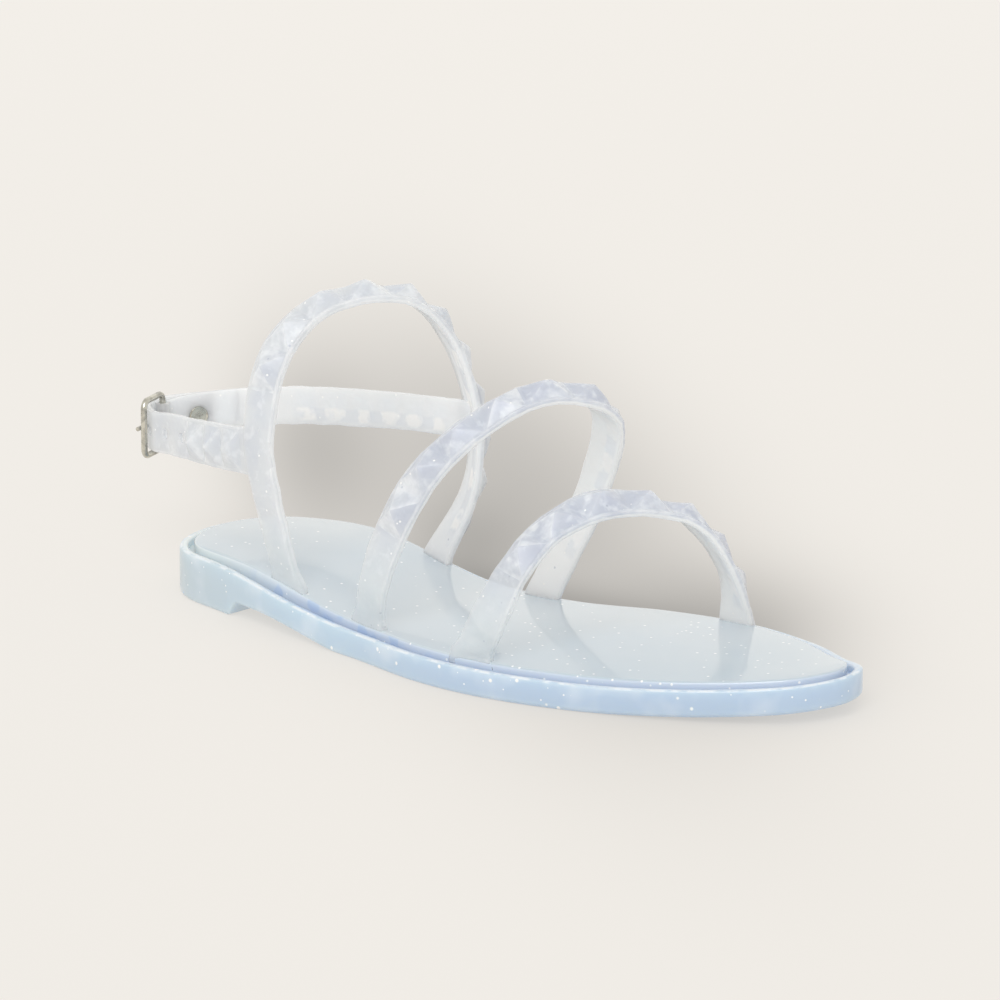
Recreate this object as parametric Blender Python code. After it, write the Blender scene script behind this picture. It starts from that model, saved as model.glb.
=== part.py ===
"""A clear moulded strappy sandal for the right foot, standing empty on its sole.

Frame: +X to the toe, +Y to the inner (medial) side, +Z up. Sizes below are in millimetres, measured
from the back of the heel on the floor, and the finished shoe is then centred on its own footprint.
"""
from collections import namedtuple
import math

import bmesh
import bpy
from mathutils import Matrix, Vector

MM = 0.001
GAP = 0.3

# Sole outline, seen from above: one row for each station from heel to toe
Outline = namedtuple("Outline", "forward lateral medial")
OUTLINE = (
    Outline(0.0, 2.0, 2.0),
    Outline(4.0, -15.0, 17.0),
    Outline(15.0, -26.0, 28.0),
    Outline(35.0, -31.0, 34.5),
    Outline(65.0, -37.0, 33.0),
    Outline(100.0, -41.5, 29.0),
    Outline(130.0, -47.0, 31.0),
    Outline(157.0, -46.5, 41.5),
    Outline(185.0, -39.5, 46.5),
    Outline(212.0, -28.0, 40.5),
    Outline(233.0, -16.0, 29.5),
    Outline(245.0, -5.5, 22.5),
    Outline(250.0, 9.0, 9.0),
)
OUTLINE_STEPS = 4
ROOT_STEPS = 16

# Sole heights along the foot
HEEL_TOP = 15.0
FOREFOOT_TOP = 8.2
HEEL_BED = 16.6
FOREFOOT_BED = 9.8
LIP_SLOPE_START = 25.0
BED_SLOPE_START = 40.0
SLOPE_END = 105.0
SPRING_START = 180.0
SPRING_END = 250.0
TOE_SPRING = 4.4
HEEL_LENGTH = 40.0
BREAST_SLANT = 2.5
WAIST_LIFT = 4.7
WAIST_DIP = 1.0
WAIST_START = 51.0
WAIST_END = 106.0
WAIST_STEPS = 12
CUT_BELOW = 4.0
CUT_HALF_WIDTH = 60.0

# Rim of the outsole: a lip, then a narrow groove, then the footbed, which stands proud of both
LIP_WIDTH = 2.6
LIP_ROUND = 0.8
LIP_INNER_ROUND = 0.4
GROOVE_WIDTH = 2.0
RECESS_DEPTH = 2.4
FOOTBED_ROUND = 0.9
BOTTOM_ROUND = 2.4
ROUND_BULGE = 0.3

# Strap feet, which stand in notches in the footbed's edge
FOOT_INSET = 6.0
FOOT_RISE = 1.2
FOOT_WIDTH = 11.0
NOTCH_CLEARANCE = 0.5
NOTCH_HEIGHT = 12.0

# Straps: wall, width and the pyramid studs on the outer face
STRAP_WALL = 2.4
STRAP_WIDTH = 11.0
STUD_HEIGHT = 3.8
STUD_MARGIN = 0.8
PLAIN_STEP = 6.5
PATH_STEPS = 24
TANGENT_REACH = 2.0
Studs = namedtuple("Studs", "start pitch count")
ANKLE_STUDS = Studs(64.8, 13.5, 11)
MID_STUDS = Studs(36.2, 14.4, 10)
TOE_STUDS = Studs(32.2, 14.4, 7)
ARM_STUDS = Studs(10.0, 10.5, 6)
BELT_STUDS = Studs(72.0, 10.5, 3)

# Sling: the arm and the belt that meet in the buckle behind the heel
SLING_WALL = 2.0
BELT_HOLE = 3.4
BELT_HOLES = (24.0, 46.0, 57.0, 68.0)
HOLE_REACH = 4.0
ARM_HOLE = 6.2
ARM_HOLE_BACK = 13.0
ARM_HOLE_DROP = 1.2
ARM_HOLE_REACH = 12.0
PIN_SIDES = 16

# Buckle, a wire frame between the bar at the arm's eye and the bar over the belt
FRAME_WIRE = 1.0
FRAME_HEIGHT = 19.5
FRAME_CORNER = 2.5
CORNER_STEPS = 4
PRONG_WIRE = 0.7
PRONG_OVERHANG = 0.5
PRONG_STEPS = 8
PRONG_HOOK = 40.0
EYE_WALL = 1.0
EYE_LENGTH = 11.5
WIRE_RESOLUTION = 2
EYE_BAR = Vector((-14.8, -4.6, 47.6))
BELT_BAR = Vector((-10.6, -17.0, 47.6))

# Strap routes above the sole, lateral side first. In degrees, turn is the heading of the strap's width
# seen from above, and tilt is how far its front edge leans down towards the toe.
Bend = namedtuple("Bend", "forward across height width turn tilt", defaults=(0.0, 0.0))
ANKLE_ROOTS = (64.0, 74.2)
ANKLE_ROUTE = (
    Bend(59.8, -34.5, 40.0, 9.8),
    Bend(55.0, -33.5, 60.0, 11.0),
    Bend(55.0, -26.0, 83.5, 12.0),
    Bend(60.0, -10.0, 97.0, 11.0, -8.0, 6.0),
    Bend(71.0, 11.0, 98.0, 11.0, -16.0, 6.0),
    Bend(76.5, 27.0, 84.0, 11.5, -24.0),
    Bend(82.0, 33.5, 58.0, 11.5, -30.0),
    Bend(81.0, 32.8, 34.5, 11.0, -30.0),
)
MID_ROOTS = (103.2, 120.0)
MID_ROUTE = (
    Bend(107.5, -38.5, 25.0, 11.0, -6.0),
    Bend(114.5, -36.0, 45.0, 11.6),
    Bend(122.2, -29.5, 61.0, 11.6),
    Bend(131.0, -18.5, 73.0, 11.0),
    Bend(141.0, -5.0, 81.0, 11.0, 0.0, 8.0),
    Bend(148.0, 10.0, 79.0, 12.0, 0.0, 18.0),
    Bend(146.0, 23.0, 67.0, 11.5, 0.0, 8.0),
    Bend(132.6, 28.2, 39.0, 11.0),
)
TOE_ROOTS = (149.8, 182.0)
TOE_ROUTE = (
    Bend(155.0, -41.0, 22.0, 12.0, 6.0),
    Bend(159.0, -35.0, 35.5, 11.5, 2.0),
    Bend(162.0, -23.0, 46.6, 11.5, 0.0, 6.0),
    Bend(168.5, -7.0, 52.8, 12.0, 0.0, 18.0),
    Bend(176.0, 9.0, 50.6, 12.0, 0.0, 18.0),
    Bend(181.0, 23.0, 42.5, 11.5, -8.0, 8.0),
    Bend(183.5, 35.0, 26.0, 11.5, -24.0),
)
# Sling routes run from the inner side round the heel to the outer side
ARM_ROUTE = (
    Bend(83.0, 32.0, 57.0, 12.0),
    Bend(56.0, 34.0, 54.8, 11.5),
    Bend(35.0, 32.3, 53.0, 12.0),
    Bend(18.0, 29.3, 51.5, 12.0),
    Bend(4.0, 24.0, 50.2, 12.0),
    Bend(-6.5, 16.5, 49.0, 12.0),
    Bend(-13.0, 6.0, 48.3, 12.0),
    Bend(EYE_BAR.x, EYE_BAR.y, EYE_BAR.z, 12.0),
)
BELT_ROUTE = (
    Bend(-5.5, 20.5, 49.4, 10.0),
    Bend(-16.0, 7.0, 48.4, 11.0),
    Bend(-19.2, -5.6, 47.6, 12.0),
    Bend(-8.0, -15.8, 47.6, 12.5),
    Bend(5.0, -20.3, 49.3, 13.0),
    Bend(22.5, -25.8, 51.0, 13.5),
    Bend(39.5, -30.2, 52.8, 14.0),
    Bend(57.0, -33.9, 54.5, 15.0),
)

Finish = namedtuple("Finish", "colour roughness metallic alpha")
CLEAR_PVC = Finish((0.84, 0.86, 0.90), 0.20, 0.0, 0.75)
BLUE_PVC = Finish((0.50, 0.64, 0.82), 0.25, 0.0, 0.90)
FOOTBED_PVC = Finish((0.78, 0.80, 0.80), 0.22, 0.0, 1.0)
STEEL = Finish((0.62, 0.60, 0.55), 0.25, 1.0, 1.0)


def catmull_rom(before, start, end, after, t):
    """Point at t between start and end on a smooth curve through both."""
    return 0.5 * (
        2.0 * start
        + (end - before) * t
        + (2.0 * before - 5.0 * start + 4.0 * end - after) * t * t
        + (3.0 * start - before - 3.0 * end + after) * t * t * t
    )


def smooth_curve(points, steps, closed=False):
    """Points on a smooth curve through the given ones, with some steps for each span."""
    count = len(points)
    spans = count if closed else count - 1
    curve = []
    for span in range(spans):
        if closed:
            four = [points[(span + k) % count] for k in (-1, 0, 1, 2)]
        else:
            four = [points[min(max(span + k, 0), count - 1)] for k in (-1, 0, 1, 2)]
        for step in range(steps):
            curve.append(catmull_rom(*four, step / steps))
    if not closed:
        curve.append(points[-1])
    return curve


def eased(forward, start, end, before, after):
    """Level that runs softly from one value to another between two stations."""
    share = min(max((forward - start) / (end - start), 0.0), 1.0)
    return before + (after - before) * (0.5 - 0.5 * math.cos(math.pi * share))


def toe_lift(forward):
    """Toe spring, which grows as a square from its start to the tip."""
    share = max((forward - SPRING_START) / (SPRING_END - SPRING_START), 0.0)
    return TOE_SPRING * share * share


def rim_top(forward):
    """Height of the lip: level heel, soft slope through the waist, level forefoot, toe spring."""
    return eased(forward, LIP_SLOPE_START, SLOPE_END, HEEL_TOP, FOREFOOT_TOP) + toe_lift(forward)


def footbed_top(forward):
    """Height of the footbed, which stands proud of the lip, most of all at the heel."""
    return eased(forward, BED_SLOPE_START, SLOPE_END, HEEL_BED, FOREFOOT_BED) + toe_lift(forward)


def groove_floor(forward):
    """Height of the groove and of the seat under the footbed."""
    return rim_top(forward) - RECESS_DEPTH


def sole_outline(steps):
    """Closed outline of the sole, from the heel round the lateral side to the toe and back."""
    lateral = [Vector((row.forward, row.lateral)) for row in OUTLINE[:-1]]
    medial = [Vector((row.forward, row.medial)) for row in reversed(OUTLINE[1:])]
    return smooth_curve(lateral + medial, steps, closed=True)


def inset_outline(outline, inset):
    """The outline moved inwards along its own normals."""
    count = len(outline)
    moved = []
    for index, point in enumerate(outline):
        along = (outline[(index + 1) % count] - outline[index - 1]).normalized()
        moved.append(point + inset * Vector((-along.y, along.x)))
    return moved


def add_ring(bm, outline, inset, height):
    """One closed row of points, at an inset from the outline and a height that follows the foot."""
    return [bm.verts.new((p.x, p.y, height(p.x))) for p in inset_outline(outline, inset)]


def loft(bm, rings):
    """Faces between each row of points and the next."""
    for low, high in zip(rings, rings[1:]):
        count = len(low)
        for index in range(count):
            after = (index + 1) % count
            bm.faces.new((low[index], low[after], high[after], high[index]))


def close_across(bm, ring):
    """Closes a row with strips that run straight across from the lateral to the medial side."""
    count = len(ring)
    half = count // 2
    bm.faces.new((ring[0], ring[1], ring[-1]))
    for index in range(1, half - 1):
        bm.faces.new((ring[index], ring[index + 1], ring[count - index - 1], ring[count - index]))
    bm.faces.new((ring[half - 1], ring[half], ring[half + 1]))


def make_collection(name):
    collection = bpy.data.collections.new(name)
    bpy.context.scene.collection.children.link(collection)
    return collection


def make_material(name, finish):
    material = bpy.data.materials.new(name)
    material.use_nodes = True
    shader = material.node_tree.nodes["Principled BSDF"]
    shader.inputs["Base Color"].default_value = (*finish.colour, 1.0)
    shader.inputs["Roughness"].default_value = finish.roughness
    shader.inputs["Metallic"].default_value = finish.metallic
    shader.inputs["Alpha"].default_value = finish.alpha
    return material


def add_object(name, bm, collection):
    """Object from a mesh drawn in millimetres, with its faces turned outwards."""
    bmesh.ops.recalc_face_normals(bm, faces=bm.faces)
    bmesh.ops.scale(bm, vec=(MM, MM, MM), verts=bm.verts)
    mesh = bpy.data.meshes.new(name)
    bm.to_mesh(mesh)
    bm.free()
    thing = bpy.data.objects.new(name, mesh)
    collection.objects.link(thing)
    return thing


def hide_cutter(thing):
    thing.hide_render = True
    thing.display_type = "WIRE"
    return thing


def add_boolean(thing, other, operation):
    modifier = thing.modifiers.new(other.name, "BOOLEAN")
    modifier.operation = operation
    modifier.solver = "EXACT"
    modifier.object = other


def make_outsole(parts, cutters):
    """Blue outsole: round bottom edge, side wall, lip, and a recess for footbed and straps."""
    outline = sole_outline(OUTLINE_STEPS)
    bulge = ROUND_BULGE * BOTTOM_ROUND
    profile = (
        (BOTTOM_ROUND, toe_lift),
        (bulge, lambda x: toe_lift(x) + bulge),
        (0.0, lambda x: toe_lift(x) + BOTTOM_ROUND),
        (0.0, lambda x: rim_top(x) - LIP_ROUND),
        (LIP_ROUND, rim_top),
        (LIP_WIDTH - LIP_INNER_ROUND, rim_top),
        (LIP_WIDTH, lambda x: rim_top(x) - LIP_ROUND),
        (LIP_WIDTH, groove_floor),
    )
    bm = bmesh.new()
    rings = [add_ring(bm, outline, inset, height) for inset, height in profile]
    loft(bm, rings)
    close_across(bm, rings[0])
    close_across(bm, rings[-1])
    outsole = add_object("outsole", bm, parts)
    add_boolean(outsole, make_waist_cutter(cutters), "DIFFERENCE")
    return outsole


def make_waist_cutter(cutters):
    """Space under the waist, from the front of the heel block to the forefoot."""
    bm = bmesh.new()
    profile = [(HEEL_LENGTH, -CUT_BELOW)]
    start = HEEL_LENGTH + BREAST_SLANT
    for step in range(WAIST_STEPS + 1):
        forward = start + (WAIST_END - start) * step / WAIST_STEPS
        profile.append((forward, eased(forward, WAIST_START, WAIST_END, WAIST_LIFT, -WAIST_DIP)))
    profile.append((WAIST_END, -CUT_BELOW))
    face = bm.faces.new([bm.verts.new((x, -CUT_HALF_WIDTH, z)) for x, z in profile])
    grown = bmesh.ops.extrude_face_region(bm, geom=[face])
    moved = [item for item in grown["geom"] if isinstance(item, bmesh.types.BMVert)]
    bmesh.ops.translate(bm, vec=(0.0, 2.0 * CUT_HALF_WIDTH, 0.0), verts=moved)
    return hide_cutter(add_object("waist_cutter", bm, cutters))


def make_footbed(parts, cutters):
    """Footbed plate that lies in the recess, with a notch in its edge for each strap foot."""
    outline = sole_outline(OUTLINE_STEPS)
    edge = LIP_WIDTH + GROOVE_WIDTH
    profile = (
        (edge, lambda x: groove_floor(x) + GAP),
        (edge, lambda x: footbed_top(x) - FOOTBED_ROUND),
        (edge + FOOTBED_ROUND, footbed_top),
    )
    bm = bmesh.new()
    rings = [add_ring(bm, outline, inset, height) for inset, height in profile]
    loft(bm, rings)
    close_across(bm, rings[0])
    close_across(bm, rings[-1])
    footbed = add_object("footbed", bm, parts)
    for roots in (ANKLE_ROOTS, MID_ROOTS, TOE_ROOTS):
        add_boolean(footbed, make_notch(roots[0], False, cutters), "DIFFERENCE")
        add_boolean(footbed, make_notch(roots[1], True, cutters), "DIFFERENCE")
    return footbed


def make_notch(forward, medial, cutters):
    """Cutter for a strap foot's notch: the foot and its clearance, open to the groove."""
    place, along = foot_place(forward, medial)
    inner = 0.5 * STRAP_WALL + NOTCH_CLEARANCE
    outer = FOOT_INSET - LIP_WIDTH
    side = 1.0 if medial else -1.0
    bm = bmesh.new()
    bmesh.ops.create_cube(bm, size=1.0)
    size = (FOOT_WIDTH + 2.0 * NOTCH_CLEARANCE, inner + outer, NOTCH_HEIGHT)
    bmesh.ops.scale(bm, vec=size, verts=bm.verts)
    bmesh.ops.translate(bm, vec=(0.0, 0.5 * side * (outer - inner), rim_top(place.x)), verts=bm.verts)
    turn = Matrix.Rotation(math.atan2(along.y, along.x), 4, "Z")
    bmesh.ops.transform(bm, matrix=Matrix.Translation((*place, 0.0)) @ turn, verts=bm.verts)
    return hide_cutter(add_object("foot_notch", bm, cutters))


class Route:
    """A smooth strap path that gives the place and the directions of the strap at a length along it."""

    def __init__(self, rows, upright):
        self.rows = smooth_curve([Vector(row) for row in rows], PATH_STEPS)
        self.upright = upright
        self.marks = [0.0]
        for one, two in zip(self.rows, self.rows[1:]):
            step = Vector(two[:3]) - Vector(one[:3])
            self.marks.append(self.marks[-1] + step.length)
        self.length = self.marks[-1]

    def at(self, length):
        """Bend row at a length along the path."""
        index = 1
        while index < len(self.marks) - 1 and self.marks[index] < length:
            index += 1
        before, after = self.marks[index - 1], self.marks[index]
        return Bend(*self.rows[index - 1].lerp(self.rows[index], (length - before) / (after - before)))

    def frame(self, length):
        """Place, width direction, outward direction and strap width at a length along the path."""
        row = self.at(length)
        ahead = self.at(min(length + TANGENT_REACH, self.length))
        behind = self.at(max(length - TANGENT_REACH, 0.0))
        along = (Vector(ahead[:3]) - Vector(behind[:3])).normalized()
        across = Vector((0.0, 0.0, -1.0))
        if not self.upright:
            turn, tilt = math.radians(row.turn), math.radians(row.tilt)
            level = math.cos(tilt)
            across = Vector((level * math.cos(turn), level * math.sin(turn), -math.sin(tilt)))
        across = (across - across.dot(along) * along).normalized()
        return Vector(row[:3]), across, across.cross(along), row.width


def foot_place(forward, medial):
    """Middle of a strap foot, seen from above, and the direction of the sole's edge beside it."""
    line = inset_outline(sole_outline(ROOT_STEPS), FOOT_INSET)
    half = len(line) // 2
    side = list(reversed(line[half:])) if medial else line[: half + 1]
    for one, two in zip(side, side[1:]):
        if one.x <= forward < two.x:
            return one + (two - one) * ((forward - one.x) / (two.x - one.x)), two - one
    raise ValueError(f"no edge of the sole at {forward}")


def strap_root(forward, medial):
    """Bend rows of a strap foot that stands upright in its notch, turned along the sole's edge."""
    place, along = foot_place(forward, medial)
    turn = math.degrees(math.atan2(along.y, along.x))
    heights = (groove_floor(place.x) + GAP, footbed_top(place.x) + FOOT_RISE)
    return [Bend(place.x, place.y, height, FOOT_WIDTH, turn) for height in heights]


def loop_route(roots, rows):
    """Route of a strap that crosses the foot from its lateral root to its medial root."""
    lateral, medial = strap_root(roots[0], False), strap_root(roots[1], True)
    return Route((*lateral, *rows, *reversed(medial)), upright=False)


def strap_marks(length, studs):
    """Lengths at which a strap is divided: even steps on its plain ends, both halves of each stud."""
    end = studs.start + studs.count * studs.pitch
    before = math.ceil(studs.start / PLAIN_STEP)
    after = math.ceil((length - end) / PLAIN_STEP)
    marks = [studs.start * step / before for step in range(before)]
    marks += [studs.start + 0.5 * studs.pitch * half for half in range(2 * studs.count)]
    marks += [end + (length - end) * step / after for step in range(after + 1)]
    return marks


def make_strap(name, route, wall, studs, feet, collection):
    """Strap drawn flat as a slab with pyramid studs, then laid along its route."""
    marks = strap_marks(route.length, studs)
    segments = len(marks) - 1
    bm = bmesh.new()
    bmesh.ops.create_grid(bm, x_segments=segments, y_segments=1, size=0.5)
    for vert in bm.verts:
        vert.co.x = marks[round((vert.co.x + 0.5) * segments)]
        vert.co.y *= STRAP_WIDTH
    grown = bmesh.ops.extrude_face_region(bm, geom=bm.faces[:])
    top = [item for item in grown["geom"] if isinstance(item, bmesh.types.BMVert)]
    bmesh.ops.translate(bm, vec=(0.0, 0.0, wall), verts=top)
    bmesh.ops.recalc_face_normals(bm, faces=bm.faces)
    for number in range(studs.count):
        start = studs.start + number * studs.pitch
        add_stud(bm, start, start + studs.pitch, wall)
    lay_along(bm, route, wall, feet)
    return add_object(name, bm, collection)


def add_stud(bm, start, end, wall):
    """Turns one cell of the flat strap's outer face into a pyramid inside a narrow border."""
    pair = []
    for face in bm.faces:
        middle = face.calc_center_median()
        if face.normal.z > 0.5 and middle.z > 0.5 * wall and start < middle.x < end:
            pair.append(face)
    cell = bmesh.ops.dissolve_faces(bm, faces=pair)["region"]
    bmesh.ops.inset_individual(bm, faces=cell, thickness=STUD_MARGIN)
    bmesh.ops.poke(bm, faces=cell, offset=STUD_HEIGHT)


def lay_along(bm, route, wall, feet):
    """Moves each point of the flat strap to its place on the route, feet cut to the footbed's seat."""
    for vert in bm.verts:
        length, side, rise = vert.co
        length = min(max(length, 0.0), route.length)
        place, across, outward, width = route.frame(length)
        at_foot = feet and (length < GAP or length > route.length - GAP)
        vert.co = place + side * (width / STRAP_WIDTH) * across + (rise - 0.5 * wall) * outward
        if at_foot:
            vert.co.z = groove_floor(vert.co.x) + GAP


def make_crossing_strap(name, roots, rows, studs, parts):
    """Strap that crosses the foot, studded between its plain feet."""
    return make_strap(name, loop_route(roots, rows), STRAP_WALL, studs, True, parts)


def make_pin(name, place, axis, radius, length, collection):
    """Solid round pin centred on a place, along an axis."""
    bm = bmesh.new()
    bmesh.ops.create_cone(
        bm, cap_ends=True, segments=PIN_SIDES, radius1=radius, radius2=radius, depth=length
    )
    turn = Vector((0.0, 0.0, 1.0)).rotation_difference(axis).to_matrix().to_4x4()
    bmesh.ops.transform(bm, matrix=Matrix.Translation(place) @ turn, verts=bm.verts)
    return hide_cutter(add_object(name, bm, collection))


def make_ankle_strap(parts, cutters):
    """Ankle loop with the sling arm and the belt moulded on, an eye for the buckle and the holes.

    The arm's hole goes on through the free end of the belt, which lies outside it.
    """
    strap = make_crossing_strap("ankle_strap", ANKLE_ROOTS, ANKLE_ROUTE, ANKLE_STUDS, parts)
    arm_route = Route(ARM_ROUTE, upright=True)
    belt_route = Route(BELT_ROUTE, upright=True)
    arm = make_strap("sling_arm", arm_route, SLING_WALL, ARM_STUDS, False, cutters)
    belt = make_strap("belt", belt_route, SLING_WALL, BELT_STUDS, False, cutters)
    up = Vector((0.0, 0.0, 1.0))
    bore = FRAME_WIRE + GAP
    eye = make_pin("eye", EYE_BAR, up, bore + EYE_WALL, EYE_LENGTH, cutters)
    for piece in (arm, belt, eye):
        add_boolean(strap, hide_cutter(piece), "UNION")
    cuts = [make_pin("eye_bore", EYE_BAR, up, bore, 2.0 * EYE_LENGTH, cutters)]
    ring = bore + 2.0 * PRONG_WIRE + GAP
    cuts.append(make_pin("prong_slot", EYE_BAR, up, ring, 2.0 * (PRONG_WIRE + GAP), cutters))
    cuts.append(make_prong_cutter(cutters))
    place, across, outward, _ = arm_route.frame(arm_route.length - ARM_HOLE_BACK)
    low = place + ARM_HOLE_DROP * across
    cuts.append(make_pin("arm_hole", low, outward, 0.5 * ARM_HOLE, ARM_HOLE_REACH, cutters))
    for number, length in enumerate(BELT_HOLES):
        place, _, outward, _ = belt_route.frame(length)
        name = f"belt_hole_{number + 1}"
        cuts.append(make_pin(name, place, outward, 0.5 * BELT_HOLE, HOLE_REACH, cutters))
    for cut in cuts:
        add_boolean(strap, cut, "DIFFERENCE")
    return strap


def prong_offset():
    """Distance of the prong's middle from the middle of the two bars that it touches."""
    return FRAME_WIRE + GAP + PRONG_WIRE


def make_prong_cutter(cutters):
    """Clearance round the straight of the prong, which leaves a slot where it runs through the belt."""
    along = (BELT_BAR - EYE_BAR).normalized()
    outward = along.cross(Vector((0.0, 0.0, 1.0)))
    middle = 0.5 * (EYE_BAR + BELT_BAR) + prong_offset() * outward
    length = (BELT_BAR - EYE_BAR).length + 2.0 * PRONG_OVERHANG
    return make_pin("prong_way", middle, along, PRONG_WIRE + 2.0 * GAP, length, cutters)


def make_wire(name, points, radius, cyclic, parts):
    """Round wire through points in millimetres."""
    curve = bpy.data.curves.new(name, "CURVE")
    curve.dimensions = "3D"
    curve.bevel_depth = radius * MM
    curve.bevel_resolution = WIRE_RESOLUTION
    curve.use_fill_caps = True
    spline = curve.splines.new("POLY")
    spline.points.add(len(points) - 1)
    for point, place in zip(spline.points, points):
        point.co = (*(MM * Vector(place)), 1.0)
    spline.use_cyclic_u = cyclic
    thing = bpy.data.objects.new(name, curve)
    parts.objects.link(thing)
    return thing


def seat_on_buckle(thing):
    """Places a buckle piece between its two bars, its own X from the eye bar to the belt bar."""
    along = BELT_BAR - EYE_BAR
    thing.location = 0.5 * MM * (EYE_BAR + BELT_BAR)
    thing.rotation_euler = (0.0, 0.0, math.atan2(along.y, along.x))
    return thing


def make_buckle_frame(parts):
    """Rectangular wire frame with round corners, standing upright."""
    half_length = 0.5 * (BELT_BAR - EYE_BAR).length
    half_height = 0.5 * FRAME_HEIGHT - FRAME_WIRE
    points = []
    for corner, (side, level) in enumerate(((1, 1), (-1, 1), (-1, -1), (1, -1))):
        centre = Vector((side * (half_length - FRAME_CORNER), 0.0, level * (half_height - FRAME_CORNER)))
        for step in range(CORNER_STEPS + 1):
            angle = math.radians(90.0 * (corner + step / CORNER_STEPS))
            points.append(centre + FRAME_CORNER * Vector((math.cos(angle), 0.0, math.sin(angle))))
    return seat_on_buckle(make_wire("buckle_frame", points, FRAME_WIRE, True, parts))


def make_buckle_prong(parts):
    """Prong hooked round the eye bar, its straight lying over the belt bar."""
    half_length = 0.5 * (BELT_BAR - EYE_BAR).length
    offset = prong_offset()
    points = []
    for step in range(PRONG_STEPS + 1):
        angle = math.radians(PRONG_HOOK + (270.0 - PRONG_HOOK) * step / PRONG_STEPS)
        points.append((offset * math.cos(angle) - half_length, offset * math.sin(angle), 0.0))
    points.append((half_length + PRONG_OVERHANG, -offset, 0.0))
    return seat_on_buckle(make_wire("buckle_prong", points, PRONG_WIRE, False, parts))


def clear_scene():
    for thing in list(bpy.data.objects):
        bpy.data.objects.remove(thing)


def centre_on_footprint(parts, cutters):
    """Hangs every piece and cutter on one empty that brings the middle of the footprint to the origin."""
    bpy.context.view_layer.update()
    depsgraph = bpy.context.evaluated_depsgraph_get()
    points = []
    for thing in parts.objects:
        solid = thing.evaluated_get(depsgraph)
        points += [solid.matrix_world @ vert.co for vert in solid.to_mesh().vertices]
        solid.to_mesh_clear()
    low = Vector([min(point[axis] for point in points) for axis in range(3)])
    high = Vector([max(point[axis] for point in points) for axis in range(3)])
    holder = bpy.data.objects.new("sandal_origin", None)
    bpy.context.scene.collection.objects.link(holder)
    holder.location = (-0.5 * (low.x + high.x), -0.5 * (low.y + high.y), -low.z)
    for thing in [*parts.objects, *cutters.objects]:
        thing.parent = holder


def build_sandal():
    clear_scene()
    parts = make_collection("strappy_sandal")
    cutters = make_collection("cutters")
    pieces = {
        make_outsole(parts, cutters): BLUE_PVC,
        make_footbed(parts, cutters): FOOTBED_PVC,
        make_ankle_strap(parts, cutters): CLEAR_PVC,
        make_crossing_strap("mid_strap", MID_ROOTS, MID_ROUTE, MID_STUDS, parts): CLEAR_PVC,
        make_crossing_strap("toe_strap", TOE_ROOTS, TOE_ROUTE, TOE_STUDS, parts): CLEAR_PVC,
        make_buckle_frame(parts): STEEL,
        make_buckle_prong(parts): STEEL,
    }
    for piece, finish in pieces.items():
        piece.data.materials.append(make_material(f"{piece.name}_finish", finish))
    centre_on_footprint(parts, cutters)


build_sandal()
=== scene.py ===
import math
from bisect import bisect_left
from collections import namedtuple

import bmesh
import bpy
from mathutils import Matrix, Vector, kdtree, noise


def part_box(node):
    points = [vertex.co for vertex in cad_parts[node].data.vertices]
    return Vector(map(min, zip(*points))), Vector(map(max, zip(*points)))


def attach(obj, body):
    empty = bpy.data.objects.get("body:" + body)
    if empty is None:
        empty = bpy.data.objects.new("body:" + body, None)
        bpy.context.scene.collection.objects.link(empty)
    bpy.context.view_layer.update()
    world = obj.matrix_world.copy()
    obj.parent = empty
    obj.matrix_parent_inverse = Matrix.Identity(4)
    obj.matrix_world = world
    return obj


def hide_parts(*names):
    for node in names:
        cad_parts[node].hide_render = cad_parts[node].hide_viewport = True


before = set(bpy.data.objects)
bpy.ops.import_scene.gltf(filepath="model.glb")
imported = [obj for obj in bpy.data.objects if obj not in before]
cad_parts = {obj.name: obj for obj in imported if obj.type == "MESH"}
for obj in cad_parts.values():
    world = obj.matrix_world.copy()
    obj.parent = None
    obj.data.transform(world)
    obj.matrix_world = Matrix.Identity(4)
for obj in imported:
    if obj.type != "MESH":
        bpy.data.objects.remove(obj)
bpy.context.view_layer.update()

bpy.ops.object.select_all(action="DESELECT")


# Outsole: one block of pale blue soft PVC with glitter moulded in. It has a heel block, an arched waist,
# a sprung toe, and a lip and narrow groove round the recess that takes the strap feet and the footbed.
# Sizes are millimetres from the back of the heel on the floor, toe along +X, inner side along +Y.
MM = 0.001
GAP = 0.3
Station = namedtuple("Station", "forward lateral medial")
OUTLINE = (
    Station(0.0, 2.0, 2.0),
    Station(4.0, -15.0, 17.0),
    Station(15.0, -26.0, 28.0),
    Station(35.0, -31.0, 34.5),
    Station(65.0, -37.0, 33.0),
    Station(100.0, -41.5, 29.0),
    Station(130.0, -47.0, 31.0),
    Station(157.0, -46.5, 41.5),
    Station(185.0, -39.5, 46.5),
    Station(212.0, -28.0, 40.5),
    Station(233.0, -16.0, 29.5),
    Station(245.0, -5.5, 22.5),
    Station(250.0, 9.0, 9.0),
)
OUTLINE_STEPS = 16
HEEL_TOP, FOREFOOT_TOP = 15.0, 8.2
LIP_SLOPE_START, SLOPE_END = 25.0, 105.0
SPRING_START, SPRING_END = 180.0, 250.0
TOE_SPRING = 4.4
HEEL_LENGTH = 39.0
BREAST_LENGTH = 5.0
WAIST_START, WAIST_END = 51.0, 106.0
WAIST_LIFT, WAIST_DIP = 4.7, 1.0
LIP_WIDTH = 2.6
LIP_ROUND = 0.8
GROOVE_WIDTH = 2.0
RECESS_DEPTH = 2.4
BOTTOM_ROUND = 1.4
ROUND_STEPS = 4
SOLE_SMOOTH = 40.0


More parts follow.
